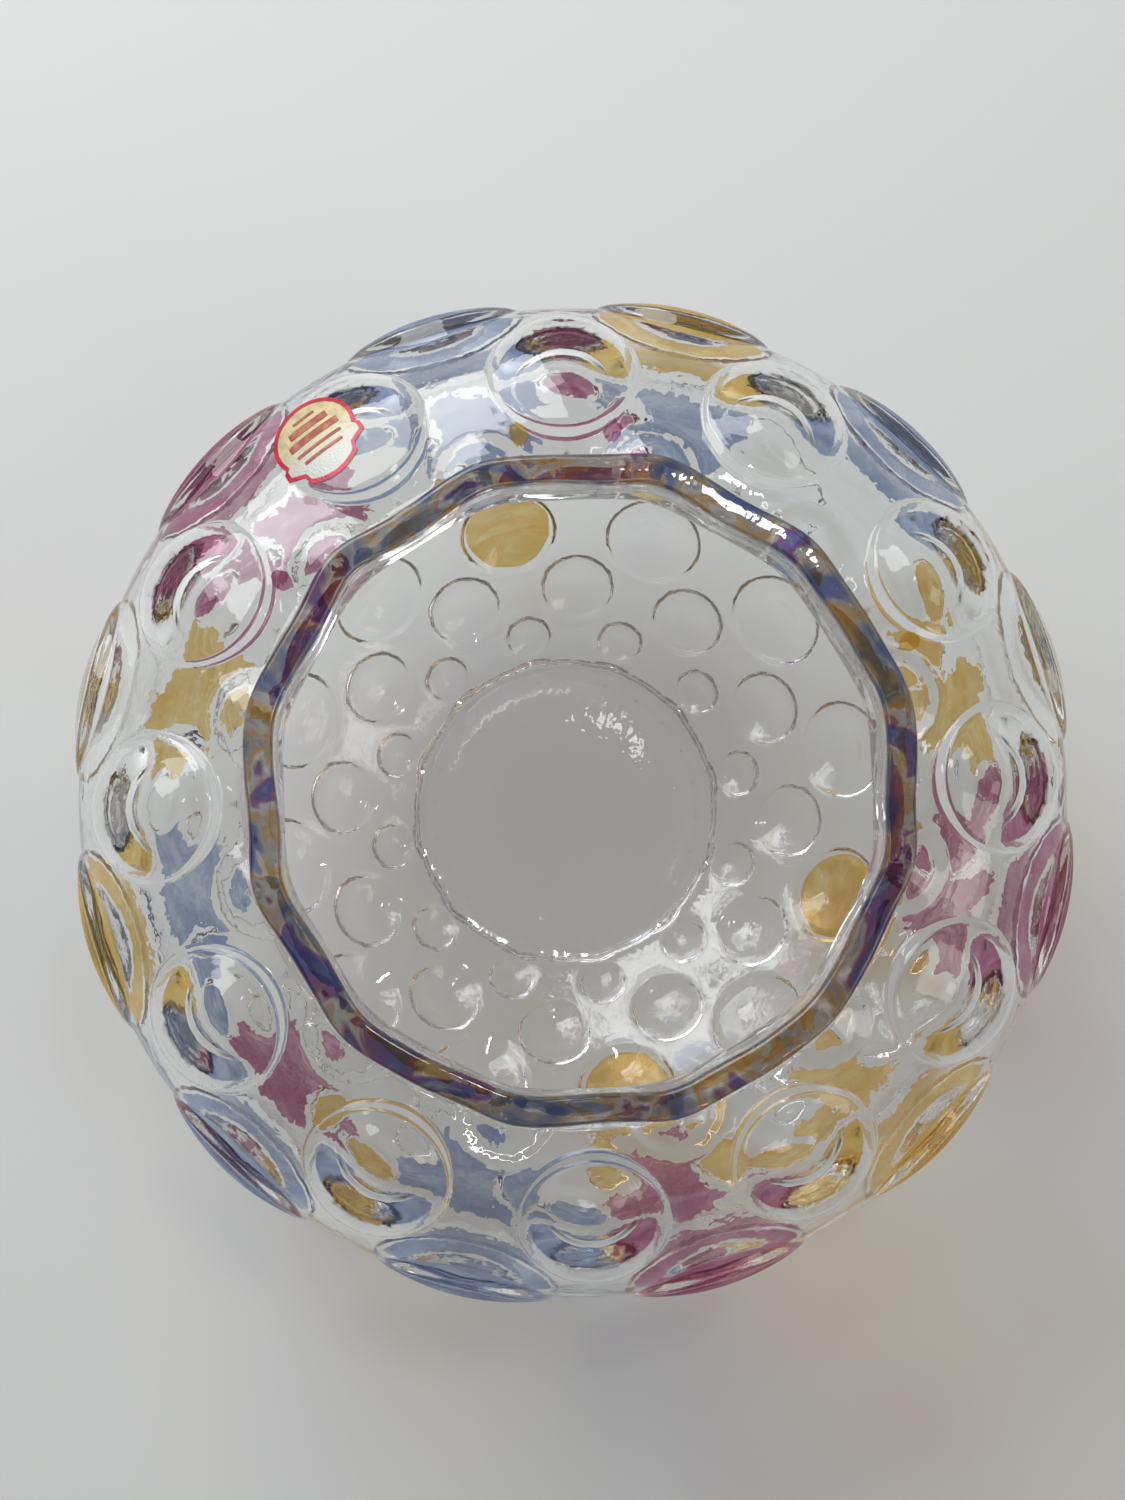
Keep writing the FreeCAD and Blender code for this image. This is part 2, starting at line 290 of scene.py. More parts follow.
class Builder:
    """Vertices (turn, radius, height, length, web share) and triangles of half a lens step of the glass."""

    def __init__(self):
        self.rows = []
        self.faces = []
        self.count = 0

    def add(self, turn, r, z, s, web):
        """Adds vertices, and returns their numbers."""
        turn, r, z, s, web = np.broadcast_arrays(turn, r, z, s, web)
        self.rows.append(np.column_stack([turn, r, z, s, web]))
        first = self.count
        self.count += len(turn)
        return list(range(first, self.count))

    def table(self):
        """Every vertex so far, one to a row."""
        if len(self.rows) > 1:
            self.rows = [np.vstack(self.rows)]
        return self.rows[0]

    def fan(self, centre, ring, flip):
        """Triangles from a middle vertex to an open ring."""
        for a, b in zip(ring, ring[1:]):
            self.faces.append((centre, b, a) if flip else (centre, a, b))

    def strip(self, inner, outer, flip):
        """Triangles between two open rings of the same count."""
        for a, b, c, d in zip(inner, inner[1:], outer[1:], outer):
            if flip:
                self.faces += [(a, b, c), (a, c, d)]
            else:
                self.faces += [(a, c, b), (a, d, c)]


def half_ring(lens, segments):
    """Unit directions of a half circle inside the sector, and the row's own azimuth."""
    phi = np.linspace(0, math.pi, segments + 1)
    side = 1.0 if lens.row["start"] == 0.0 else -1.0
    return side * np.sin(phi), np.cos(phi), side > 0


def exact(turn, lens, segments):
    """Turns measured from the row's azimuth, with both ends of a half ring on the sector's edge."""
    turn = turn + lens.row["start"]
    turn[0] = lens.row["start"]
    turn[segments] = lens.row["start"]
    return turn


def lens_face(build, lens):
    """Rings of one raised lens. Returns its foot ring on the wall."""
    row = lens.row
    a = row["radius"]
    segments = max(12, round(math.pi * a / FACE_STEP))
    ux, uy, flip = half_ring(lens, segments)
    crown_r, crown_z = (np.array([v]) for v in lens.place(0.0, 0.0, row["rise"])[1:])
    crown = build.add(np.array([row["start"]]), crown_r, crown_z, lens.s, 0.0)[0]
    rings = max(4, round(a / FACE_RING_GAP))
    radii = (a - FACE_MARGIN) * (np.arange(1, rings + 1) / rings) ** RING_CROWDING
    previous = None
    foot_turn, foot_s, foot_h = lens.on_wall(ux * (a + EDGE_FOOT), uy * (a + EDGE_FOOT))
    drop = face_height(row, a) - foot_h
    shape = [(rho, face_height(row, rho)) for rho in radii]
    shape.append((a - EDGE_LIP, face_height(row, a - EDGE_LIP) - EDGE_LIP_DROP * drop))
    shape += [(a + past, foot_h + share * drop) for past, share in EDGE_TURN]
    for rho, h in shape:
        turn, r, z = lens.place(ux * rho, uy * rho, h)
        ring = build.add(exact(turn, lens, segments), r, z, lens.s, 0.0)
        if previous is None:
            build.fan(crown, ring, flip)
        else:
            build.strip(previous, ring, flip)
        previous = ring
    r, z, _, _ = at(foot_s)
    foot_turn = exact(foot_turn, lens, segments)
    foot = build.add(foot_turn, r, z, foot_s, 1.0)
    build.strip(previous, foot, flip)
    return foot


def lens_hollow(build, lens):
    """Rings of the smooth hollow behind one lens. Returns its edge ring on the inner wall."""
    row = lens.row
    b = row["bore"]
    segments = max(10, round(math.pi * b / HOLLOW_STEP))
    ux, uy, flip = half_ring(lens, segments)
    middle_r, middle_z = (np.array([v]) for v in lens.place(0.0, 0.0, -row["depth"])[1:])
    middle = build.add(np.array([row["start"]]), middle_r, middle_z, lens.s, 0.3)[0]
    rings = max(4, round(b / HOLLOW_RING_GAP))
    previous = None
    for i in range(1, rings + 1):
        share = i / rings
        turn, s, _ = lens.on_wall(ux * b * share, uy * b * share)
        r, z, tr, tz = at(s)
        depth = row["depth"] * (1 - share ** 2) ** 1.5
        web = 0.3 + 0.7 * share
        ring = build.add(exact(turn, lens, segments), r - depth * tz, z + depth * tr, s, web)
        if previous is None:
            build.fan(middle, ring, flip)
        else:
            build.strip(previous, ring, flip)
        previous = ring
    return previous


def row_lengths():
    """Lengths along the meridian for the web's rows of points: closer where the section turns."""
    heading = np.unwrap(np.arctan2(TZ, TR))
    marks = [0]
    for i in range(1, len(S)):
        far = S[i] - S[marks[-1]] >= WEB_STEP
        turned = abs(heading[i] - heading[marks[-1]]) >= TURN_STEP and S[i] - S[marks[-1]] >= LEAST_WEB_STEP
        if far or turned:
            marks.append(i)
    if marks[-1] != len(S) - 1:
        marks[-1] = len(S) - 1
    return S[marks]


def web(build, holes):
    """Triangles of the wall between the lenses, over half a step, clear of the rings in holes."""
    points, constraints, known = [], [], []
    rings = []
    for ring in holes:
        data = build.table()[ring]
        first = len(points)
        points += [Vector((t * PLAN_SCALE, s)) for t, s in data[:, [0, 3]]]
        known += ring
        constraints += [(first + i, first + i + 1) for i in range(len(ring) - 1)]
        rings.append(np.array([(p.x, p.y) for p in points[first:]]))
    fixed = np.array([(p.x, p.y) for p in points])
    collar_low = length_at(COLLAR_RADIUS + COLLAR_FILLET, SHOULDER_TOP, False)
    collar_high = length_at(MOUTH_RADIUS, SHOULDER_TOP, True)
    lengths = row_lengths()
    fresh = []
    for index, s in enumerate(lengths):
        r, z, _, _ = (float(v) for v in at(s))
        if r < AXIS_GAP:
            continue
        on_collar = collar_low < s < collar_high
        columns = COLLAR_COLUMNS if on_collar else max(2, round(r * HALF_STEP / WEB_STEP))
        turns = np.linspace(0, HALF_STEP, columns + 1)
        if index % 2 and not on_collar and columns > 2:
            turns = np.concatenate([[0], (turns[1:] + turns[:-1]) / 2, [HALF_STEP]])
        placed = []
        for turn in turns:
            spot = np.array([turn * PLAN_SCALE, s])
            scale = np.array([r / PLAN_SCALE, 1.0])
            inside = any(contains(ring, spot) for ring in rings)
            near = np.min(np.hypot(*((fixed - spot) * scale).T)) < EDGE_CLEARANCE * WEB_STEP
            if inside or near:
                placed.append(None)
                continue
            placed.append(len(points))
            points.append(Vector(spot))
            fresh.append((turn, r, z, s))
            known.append(None)
        if on_collar:
            constraints += [(a, b) for a, b in zip(placed, placed[1:]) if a is not None and b is not None]
    new = build.add(*np.array(fresh).T, 1.0)
    names = iter(new)
    known = [next(names) if k is None else k for k in known]
    out, _, triangles, source, _, _ = delaunay_2d_cdt(points, constraints, [], 0, 1e-7)
    for face in triangles:
        centre = sum((out[i] for i in face), Vector((0, 0))) / 3
        if any(contains(ring, (centre.x, centre.y)) for ring in rings):
            continue
        ids = [known[source[i][0]] for i in face]
        if len(set(ids)) == 3:
            build.faces.append(tuple(ids))
    heights = build.table()[new, 3]
    for length, flip in ((heights.min(), True), (heights.max(), False)):
        edge = [i for i, s in zip(new, heights) if abs(s - length) < 1e-9]
        edge.sort(key=lambda i: build.table()[i, 0])
        z = build.table()[edge[0], 2]
        middle = build.add(np.array([0.0]), np.array([0.0]), np.array([z]), length, 1.0)[0]
        build.fan(middle, edge, flip)


def contains(ring, spot):
    """True if a plan point is inside the half lens whose edge ring this is."""
    x, y = spot
    if not (ring[:, 1].min() < y < ring[:, 1].max()):
        return False
    order = np.argsort(ring[:, 1])
    reach = np.interp(y, ring[order, 1], ring[order, 0])
    edge = ring[0, 0]
    return min(edge, reach) - 1e-9 <= x <= max(edge, reach) + 1e-9


# ---------------------------------------------------------------- ripples and the twelve-sided collar

def ripple(spot):
    """Small waves of the blown surface, in millimetres."""
    spot = Vector(spot)
    slow = noise.noise(spot * 0.085)
    quick = noise.noise(spot * 0.33 + Vector((7.0, 3.0, 1.0)))
    return 0.11 * slow + 0.035 * quick


def twelve_sided(turn):
    """How far a soft twelve-sided outline stands over its own flats, as a share of the radius."""
    away = abs((turn + HALF_STEP) % STEP - HALF_STEP)
    flat = 1 / np.cos(away) - 1
    peak = 1 / math.cos(HALF_STEP) - 1
    soft = 0.34 * peak
    over = np.maximum(flat - (peak - 2 * soft), 0)
    return flat - over ** 2 / (4 * soft)


def collar_wobble(turn, z):
    """The uneven run of the fire-polished rim, in millimetres."""
    waves = np.sin(5 * turn + 1.3) + 0.8 * np.sin(11 * turn + 4.0) + 0.6 * np.sin(17 * turn + 2.1)
    return WOBBLE * smooth_step(86, 95, z) * waves / 2.4


def smooth_step(low, high, value):
    """0 below low, 1 above high, with a smooth rise between them."""
    share = np.clip((value - low) / (high - low), 0, 1)
    return share * share * (3 - 2 * share)


def finished(turn, r, z, s, web_share):
    """The collar's sides, the neck lenses and their hollows, in cylindrical coordinates."""
    outside = s < RIM_S
    collar = np.where(outside, smooth_step(SHOULDER_TOP, SHOULDER_TOP + 2.5, z),
                      smooth_step(SHOULDER_TOP - WALL, SHOULDER_TOP + 1, z))
    collar = collar * (r < COLLAR_RADIUS + COLLAR_FILLET + 1)
    r = r * (1 + collar * (twelve_sided(turn) - 0.012))
    away = turn % STEP - HALF_STEP
    cross = r * np.sin(away)
    along = r * np.cos(away) - NECK_LENS["centre"]
    gap = np.hypot(cross, along)
    dome = np.sqrt(np.clip(1 - (gap / NECK_LENS["radius"]) ** 2, 0, 1))
    dome = dome * smooth_step(0, 0.35, dome) * NECK_LENS["rise"]
    dip = np.clip(1 - (gap / NECK_LENS["hollow"]) ** 2, 0, 1) ** 1.5 * NECK_LENS["depth"]
    near_top = (z > SHOULDER_TOP - 6) & (z < SHOULDER_TOP + 6) & (web_share > 0.9)
    up = np.where(outside, dome * (1 - smooth_step(SHOULDER_TOP + 1.5, SHOULDER_TOP + 5, z)), dip)
    z = z + np.where(near_top, up, 0) * np.where(outside, 1, z < SHOULDER_TOP - WALL + 1.5)
    return r, z


def to_xyz(turn, r, z):
    """Points from arrays of cylindrical places, with the lower rows' twist."""
    turn = turn + TWIST * smooth_step(0, 1, (TWIST_FROM - z) / (TWIST_FROM - TWIST_TO))
    return np.column_stack([r * np.sin(turn), r * np.cos(turn), z])


def spot_at(turn, r, z):
    """One point from one cylindrical place."""
    return to_xyz(*(np.array([v]) for v in (turn, r, z)))[0]


def vertex_normals(points, faces):
    """A unit normal at each point, from its faces' areas."""
    a, b, c = (points[faces[:, i]] for i in range(3))
    flat = np.cross(b - a, c - a)
    normals = np.zeros_like(points)
    for i in range(3):
        np.add.at(normals, faces[:, i], flat)
    return normals / np.maximum(np.linalg.norm(normals, axis=1, keepdims=True), 1e-12)


def mesh_object(name, points, faces, smooth=True):
    """A mesh in metres from points in millimetres."""
    mesh = bpy.data.meshes.new(name)
    mesh.from_pydata((np.asarray(points) * MM).tolist(), [], [tuple(int(i) for i in f) for f in faces])
    mesh.update()
    if smooth:
        mesh.shade_smooth()
    piece = bpy.data.objects.new(name, mesh)
    bpy.context.scene.collection.objects.link(piece)
    return piece


def glass_mesh():
    """The whole blown piece: half a lens step, mirrored and turned twelve times, then given its life."""
    build = Builder()
    holes = [lens_face(build, Lens(row, False)) for row in ROWS.values()]
    holes += [lens_hollow(build, Lens(row, True)) for row in ROWS.values()]
    web(build, holes)
    sector = build.table()
    triangles = np.array(build.faces)
    parts, faces = [], []
    for i in range(LENS_COUNT):
        for mirror in (1, -1):
            copy = sector.copy()
            copy[:, 0] = mirror * copy[:, 0] + i * STEP
            faces.append((triangles if mirror < 0 else triangles[:, ::-1]) + len(parts) * len(sector))
            parts.append(copy)
    data = np.vstack(parts)
    faces = np.vstack(faces)
    raw = to_xyz(data[:, 0], data[:, 1], data[:, 2])
    _, first, index = np.unique(np.round(raw, 4), axis=0, return_index=True, return_inverse=True)
    data = data[first]
    faces = index.reshape(-1)[faces]
    good = (faces[:, 0] != faces[:, 1]) & (faces[:, 1] != faces[:, 2]) & (faces[:, 0] != faces[:, 2])
    faces = faces[good]
    turn, r, z, s, share = data.T
    r, z = finished(turn, r, z, s, share)
    points = to_xyz(turn, r + collar_wobble(turn, z), z)
    normals = vertex_normals(points, faces)
    flat_foot = smooth_step(0.5, 3.0, z)
    life = np.array([ripple(p) for p in points]) * (FACE_RIPPLE + (1 - FACE_RIPPLE) * share) * flat_foot
    return points + normals * life[:, None], faces


# ---------------------------------------------------------------- thin sheets laid on the glass

def face_place(lens, azimuth):
    """Puts a plan point (x, y) on a lens face, at a lift over the glass."""
    row = lens.row

    def place(x, y, lift):
        rho = min(math.hypot(x, y), row["face"] * 0.9)
        up = math.sqrt(row["face"] ** 2 - rho ** 2)
        h = row["rise"] - row["face"] + up

        def spot(raised):
            share = raised / row["face"]
            turn, r, z = lens.place(x * (1 + share), y * (1 + share), h + share * up)
            return spot_at(turn + azimuth, r, z)

        return spot(lift + FACE_RIPPLE * ripple(spot(0.0)))

    return place


def wall_place(azimuth, s_middle):
    """Puts a plan point on the wall between the lenses, at a lift over the glass."""

    def place(x, y, lift):
        r, z, tr, tz = (float(v) for v in at(s_middle + y))
        turn = azimuth + x / r

        def spot(raised):
            return spot_at(turn, r + raised * tz, z - raised * tr)

        return spot(lift + ripple(spot(0.0)))

    return place


def inside_outline(outline, x, y):
    """True if a plan point is inside a closed outline, by counting crossings."""
    hits = 0
    for (ax, ay), (bx, by) in zip(outline, outline[1:] + outline[:1]):
        if (ay > y) != (by > y) and x < ax + (bx - ax) * (y - ay) / (by - ay):
            hits += 1
    return hits % 2 == 1


def sheet(outline, place, low, high, spacing, hole=None):
    """Points and triangles of a thin closed sheet between two lifts."""
    points = [Vector(p) for p in outline]
    loops = [list(range(len(outline)))]
    if hole:
        loops.append([len(points) + i for i in range(len(hole))])
        points += [Vector(p) for p in hole]
    edges = [(a, b) for loop in loops for a, b in zip(loop, loop[1:] + loop[:1])]
    xs = [p.x for p in points]
    ys = [p.y for p in points]
    border = np.array([(p.x, p.y) for p in points])
    for j, y in enumerate(np.arange(min(ys), max(ys), spacing * 0.87)):
        for x in np.arange(min(xs) + (j % 2) * spacing / 2, max(xs), spacing):
            clear = np.min(np.hypot(border[:, 0] - x, border[:, 1] - y)) > 0.5 * spacing
            if clear and inside_outline(outline, x, y) and not (hole and inside_outline(hole, x, y)):
                points.append(Vector((x, y)))
    plan, _, cells, _, _, _ = delaunay_2d_cdt(points, edges, [], 0, 1e-7)
    kept = []
    for cell in cells:
        middle = sum((plan[i] for i in cell), Vector((0, 0))) / 3
        if inside_outline(outline, *middle) and not (hole and inside_outline(hole, *middle)):
            kept.append(tuple(cell))
    used = sorted({i for cell in kept for i in cell})
    name = {old: new for new, old in enumerate(used)}
    kept = [tuple(name[i] for i in cell) for cell in kept]
    under = [place(*plan[i], low) for i in used]
    over = [place(*plan[i], high) for i in used]
    size = len(used)
    faces = list(kept) + [tuple(i + size for i in reversed(cell)) for cell in kept]
    directed = {(a, b) for cell in kept for a, b in zip(cell, cell[1:] + cell[:1])}
    for a, b in directed:
        if (b, a) not in directed:
            faces += [(b, a, a + size), (b, a + size, b + size)]
    return np.array(under + over), np.array(sorted(faces[:2 * len(kept)]) + sorted(faces[2 * len(kept):]))


def joined(sheets):
    """Several sheets as one set of points and triangles."""
    points, faces, count = [], [], 0
    for some_points, some_faces in sheets:
        points.append(some_points)
        faces.append(some_faces + count)
        count += len(some_points)
    return np.vstack(points), np.vstack(faces)


def rough(seed, turn, grain=2.2):
    """A repeatable wobble from -1 to 1 round an outline."""
    return noise.noise(Vector((grain * math.cos(turn), grain * math.sin(turn), seed)))


def lens_outline(row, seed):
    """The edge of the stain on a lens: round, with a slightly uneven brush edge."""
    count = max(36, round(2 * math.pi * row["radius"] / 0.8))
    turns = [2 * math.pi * i / count for i in range(count)]
    reach = row["radius"] * 0.93
    return [(reach * (1 + 0.03 * rough(seed, t)) * math.cos(t),
             reach * (1 + 0.03 * rough(seed, t)) * math.sin(t)) for t in turns]


# The middle of a web's star, between the lens edges of rows 3 and 5, and the count of its outline's points.
WEB_S = 0.5 * (Lens(ROWS[3], False).s + ROWS[3]["radius"]
               + Lens(ROWS[5], False).s - ROWS[5]["radius"]) + 0.6
WEB_OUTLINE_POINTS = 110


def web_outline(seed):
    """The ragged star of stain between four lenses, marched out from its middle."""
    lenses = [(Lens(ROWS[3], False), 0.0), (Lens(ROWS[5], False), 0.0)]
    lenses += [(Lens(ROWS[4], False), side * HALF_STEP) for side in (-1, 1)]
    centres = [spot_at(turn, lens.r, lens.z) for lens, turn in lenses]
    outline = []
    for i in range(WEB_OUTLINE_POINTS):
        turn = 2 * math.pi * i / WEB_OUTLINE_POINTS
        edge = 1.2 + 1.4 * abs(rough(seed + 5.3, turn, 9.0))
        limit = 11.0 + 3.4 * rough(seed, turn, 1.6) + 2.2 * rough(seed + 2.7, turn, 12.0)
        reach = 0.5
        while reach < limit:
            x, y = reach * math.sin(turn), reach * math.cos(turn)
            r, z, _, _ = (float(v) for v in at(WEB_S + y))
            spot = spot_at(x / r, r, z)
            near = [np.linalg.norm(spot - c) - lens.row["radius"] for c, (lens, _) in zip(centres, lenses)]
            if min(near) < edge or abs(x) / r > HALF_STEP * 0.92:
                break
            reach += 0.12
        outline.append((reach * math.sin(turn), reach * math.cos(turn)))
    return outline


def stroke_outline(seed):
    """A short ragged brush stroke."""
    count = 26
    turns = [2 * math.pi * i / count for i in range(count)]
    return [(1.25 * math.cos(t) * (1 + 0.25 * rough(seed, t)),
             1.7 * math.sin(t) * (1 + 0.3 * rough(seed + 4.0, t, 5.0))) for t in turns]


# ---------------------------------------------------------------- materials

GLASS_TINT = (0.95, 0.958, 0.955, 1)
STRAIGHT_TINT = (0.90, 0.895, 0.885, 1)

# The rim's painted reflection: streaks of the stains' colours put into the glass's colour on top of the
# rim, standing in for the stained lenses seen through the thick glass. Heights in metres where they begin
# and are full, and the noise's run along and across.
RIM_PAINTED_FROM = 0.0955
RIM_PAINTED_TO = 0.0972
RIM_ALONG = 4.2
RIM_ACROSS = 120.0
RIM_PAINTED_STREAKS = [
    (0.30, (0.01, 0.015, 0.11)), (0.38, (0.03, 0.04, 0.11)), (0.44, (0.14, 0.13, 0.12)),
    (0.48, (0.20, 0.08, 0.01)), (0.53, (0.22, 0.21, 0.19)), (0.58, (0.07, 0.015, 0.05)),
    (0.64, (0.01, 0.015, 0.11)), (0.72, (0.12, 0.12, 0.13)),
]

# Stains: the pale and the deep end of the streaks, and the pigment.
STAIN_COLOURS = {
    "amber": ((1.0, 0.93, 0.70), (0.92, 0.74, 0.40), (0.66, 0.48, 0.22)),
    "blue": ((0.84, 0.88, 0.94), (0.56, 0.62, 0.78), (0.34, 0.40, 0.54)),
    "violet": ((0.91, 0.74, 0.82), (0.66, 0.34, 0.48), (0.46, 0.22, 0.33)),
}
PIGMENT_SHARE = 0.09


def new_material(name):
    """An empty node material, with its nodes and links."""
    material = bpy.data.materials.new(name)
    material.use_nodes = True
    nodes = material.node_tree.nodes
    nodes.clear()
    return material, nodes, material.node_tree.links


def add_node(nodes, kind, **values):
    """A node with its sockets set by name."""
    node = nodes.new(kind)
    for socket, value in values.items():
        node.inputs[socket.replace("_", " ")].default_value = value
    return node


def lamps_through(nodes, links, surface, clear):
    """Lets rays from lamps and from pale surfaces straight through, as thin glass does."""
    path = nodes.new("ShaderNodeLightPath")
    either = nodes.new("ShaderNodeMath")
    either.operation = "MAXIMUM"
    links.new(path.outputs["Is Shadow Ray"], either.inputs[0])
    links.new(path.outputs["Is Diffuse Ray"], either.inputs[1])
    straight = add_node(nodes, "ShaderNodeBsdfTransparent", Color=clear)
    mix = nodes.new("ShaderNodeMixShader")
    links.new(either.outputs[0], mix.inputs[0])
    links.new(surface, mix.inputs[1])
    links.new(straight.outputs[0], mix.inputs[2])
    return mix.outputs[0]


def rim_painted_reflection(nodes, links, place):
    """The glass's colour: clear, but with a painted reflection on top of the rim, streaks of the stains'
    colours that stand in for the stained lenses seen through the thick glass.
    """
    split = nodes.new("ShaderNodeSeparateXYZ")
    high = nodes.new("ShaderNodeMapRange")
    high.inputs["From Min"].default_value = RIM_PAINTED_FROM
    high.inputs["From Max"].default_value = RIM_PAINTED_TO
    # The noise runs slowly round the rim and quickly across it, so its patches are streaks along the rim.
    flat = add_node(nodes, "ShaderNodeMapping", Scale=(1.0, 1.0, 0.0))
    along = nodes.new("ShaderNodeVectorMath")
    along.operation = "NORMALIZE"
    slow = nodes.new("ShaderNodeVectorMath")
    slow.operation = "SCALE"
    slow.inputs["Scale"].default_value = RIM_ALONG
    across = nodes.new("ShaderNodeVectorMath")
    across.operation = "LENGTH"
    quick = nodes.new("ShaderNodeMath")
    quick.operation = "MULTIPLY"
    quick.inputs[1].default_value = RIM_ACROSS
    upright = nodes.new("ShaderNodeCombineXYZ")
    spot = nodes.new("ShaderNodeVectorMath")
    patches = add_node(nodes, "ShaderNodeTexNoise", Scale=1.0, Detail=3.0, Roughness=0.5, Distortion=0.8)
    ramp = nodes.new("ShaderNodeValToRGB")
    bands = ramp.color_ramp
    for element, (position, colour) in zip(bands.elements, (RIM_PAINTED_STREAKS[0], RIM_PAINTED_STREAKS[-1])):
        element.position, element.color = position, (*colour, 1)
    for position, colour in RIM_PAINTED_STREAKS[1:-1]:
        bands.elements.new(position).color = (*colour, 1)
    blend = nodes.new("ShaderNodeMix")
    blend.data_type = "RGBA"
    blend.inputs[6].default_value = GLASS_TINT
    links.new(place.outputs["Object"], split.inputs[0])
    links.new(split.outputs["Z"], high.inputs["Value"])
    links.new(place.outputs["Object"], flat.inputs["Vector"])
    links.new(flat.outputs["Vector"], along.inputs[0])
    links.new(along.outputs["Vector"], slow.inputs[0])
    links.new(flat.outputs["Vector"], across.inputs[0])
    links.new(across.outputs["Value"], quick.inputs[0])
    links.new(quick.outputs[0], upright.inputs["Z"])
    links.new(slow.outputs["Vector"], spot.inputs[0])
    links.new(upright.outputs[0], spot.inputs[1])
    links.new(spot.outputs["Vector"], patches.inputs["Vector"])
    links.new(patches.outputs["Fac"], ramp.inputs["Fac"])
    links.new(high.outputs[0], blend.inputs[0])
    links.new(ramp.outputs["Color"], blend.inputs[7])
    return blend.outputs[2]


def glass_material():
    """Clear glass with faint waves on its surface, and a painted reflection of the stains' colours on top
    of its rim.
    """
    material, nodes, links = new_material("clear_glass")
    glass = add_node(nodes, "ShaderNodeBsdfPrincipled", Base_Color=GLASS_TINT, Roughness=0.0,
                     IOR=1.5, Transmission_Weight=1.0)
    place = nodes.new("ShaderNodeTexCoord")
    wave = add_node(nodes, "ShaderNodeTexNoise", Scale=420.0, Detail=2.0)
    bump = add_node(nodes, "ShaderNodeBump", Strength=0.12, Distance=0.0004)
    links.new(place.outputs["Object"], wave.inputs["Vector"])
    links.new(wave.outputs["Fac"], bump.inputs["Height"])
    links.new(bump.outputs["Normal"], glass.inputs["Normal"])
    # Painted reflection: the rim's streaks of stain colour go into the base colour of the glass.
    links.new(rim_painted_reflection(nodes, links, place), glass.inputs["Base Color"])
    out = nodes.new("ShaderNodeOutputMaterial")
    links.new(lamps_through(nodes, links, glass.outputs[0], STRAIGHT_TINT), out.inputs["Surface"])
    return material


def stain_material(name, pale, deep, pigment):
    """A fired stain: a tinted film that light goes through, with brush streaks and a little pigment."""
    material, nodes, links = new_material(name)
    place = nodes.new("ShaderNodeTexCoord")
    stretch = add_node(nodes, "ShaderNodeMapping", Scale=(150.0, 150.0, 620.0), Rotation=(0.5, 0.35, 0.0))
    streaks = add_node(nodes, "ShaderNodeTexNoise", Scale=1.0, Detail=5.0, Roughness=0.6, Distortion=0.6)
    clouds = add_node(nodes, "ShaderNodeTexNoise", Scale=110.0, Detail=2.0)
    blend = nodes.new("ShaderNodeMath")
    blend.operation = "MULTIPLY"
    ramp = nodes.new("ShaderNodeValToRGB")
    ramp.color_ramp.elements[0].position = 0.14
    ramp.color_ramp.elements[0].color = (*deep, 1)
    ramp.color_ramp.elements[1].position = 0.42
    ramp.color_ramp.elements[1].color = (*pale, 1)
    links.new(place.outputs["Object"], stretch.inputs["Vector"])
    links.new(stretch.outputs["Vector"], streaks.inputs["Vector"])
    links.new(place.outputs["Object"], clouds.inputs["Vector"])
    links.new(streaks.outputs["Fac"], blend.inputs[0])
    links.new(clouds.outputs["Fac"], blend.inputs[1])
    links.new(blend.outputs[0], ramp.inputs["Fac"])
    film = nodes.new("ShaderNodeBsdfTransparent")
    links.new(ramp.outputs["Color"], film.inputs["Color"])
    body = add_node(nodes, "ShaderNodeBsdfPrincipled", Base_Color=(*pigment, 1), Metallic=0.3,
                    Roughness=0.28)
    mix = add_node(nodes, "ShaderNodeMixShader", Fac=PIGMENT_SHARE)
    links.new(film.outputs[0], mix.inputs[1])
    links.new(body.outputs[0], mix.inputs[2])
    out = nodes.new("ShaderNodeOutputMaterial")
    links.new(mix.outputs[0], out.inputs["Surface"])
    return material


def foil_fade(nodes, links, place, colours, far):
    """Pale gold at the label's rounded end, silver at its crest."""
    towards = nodes.new("ShaderNodeVectorMath")
    towards.operation = "DOT_PRODUCT"
    towards.inputs[1].default_value = (math.sin(LABEL_TURN), math.cos(LABEL_TURN), 0.0)
    share = nodes.new("ShaderNodeMapRange")
    share.inputs["From Min"].default_value = 0.0590
    share.inputs["From Max"].default_value = 0.0635
    blend = nodes.new("ShaderNodeMix")
    blend.data_type = "RGBA"
    blend.inputs[6].default_value = (*far, 1)
    links.new(place.outputs["Object"], towards.inputs[0])
    links.new(towards.outputs["Value"], share.inputs["Value"])
    links.new(share.outputs[0], blend.inputs[0])
    links.new(colours, blend.inputs[7])
    return blend.outputs[2]


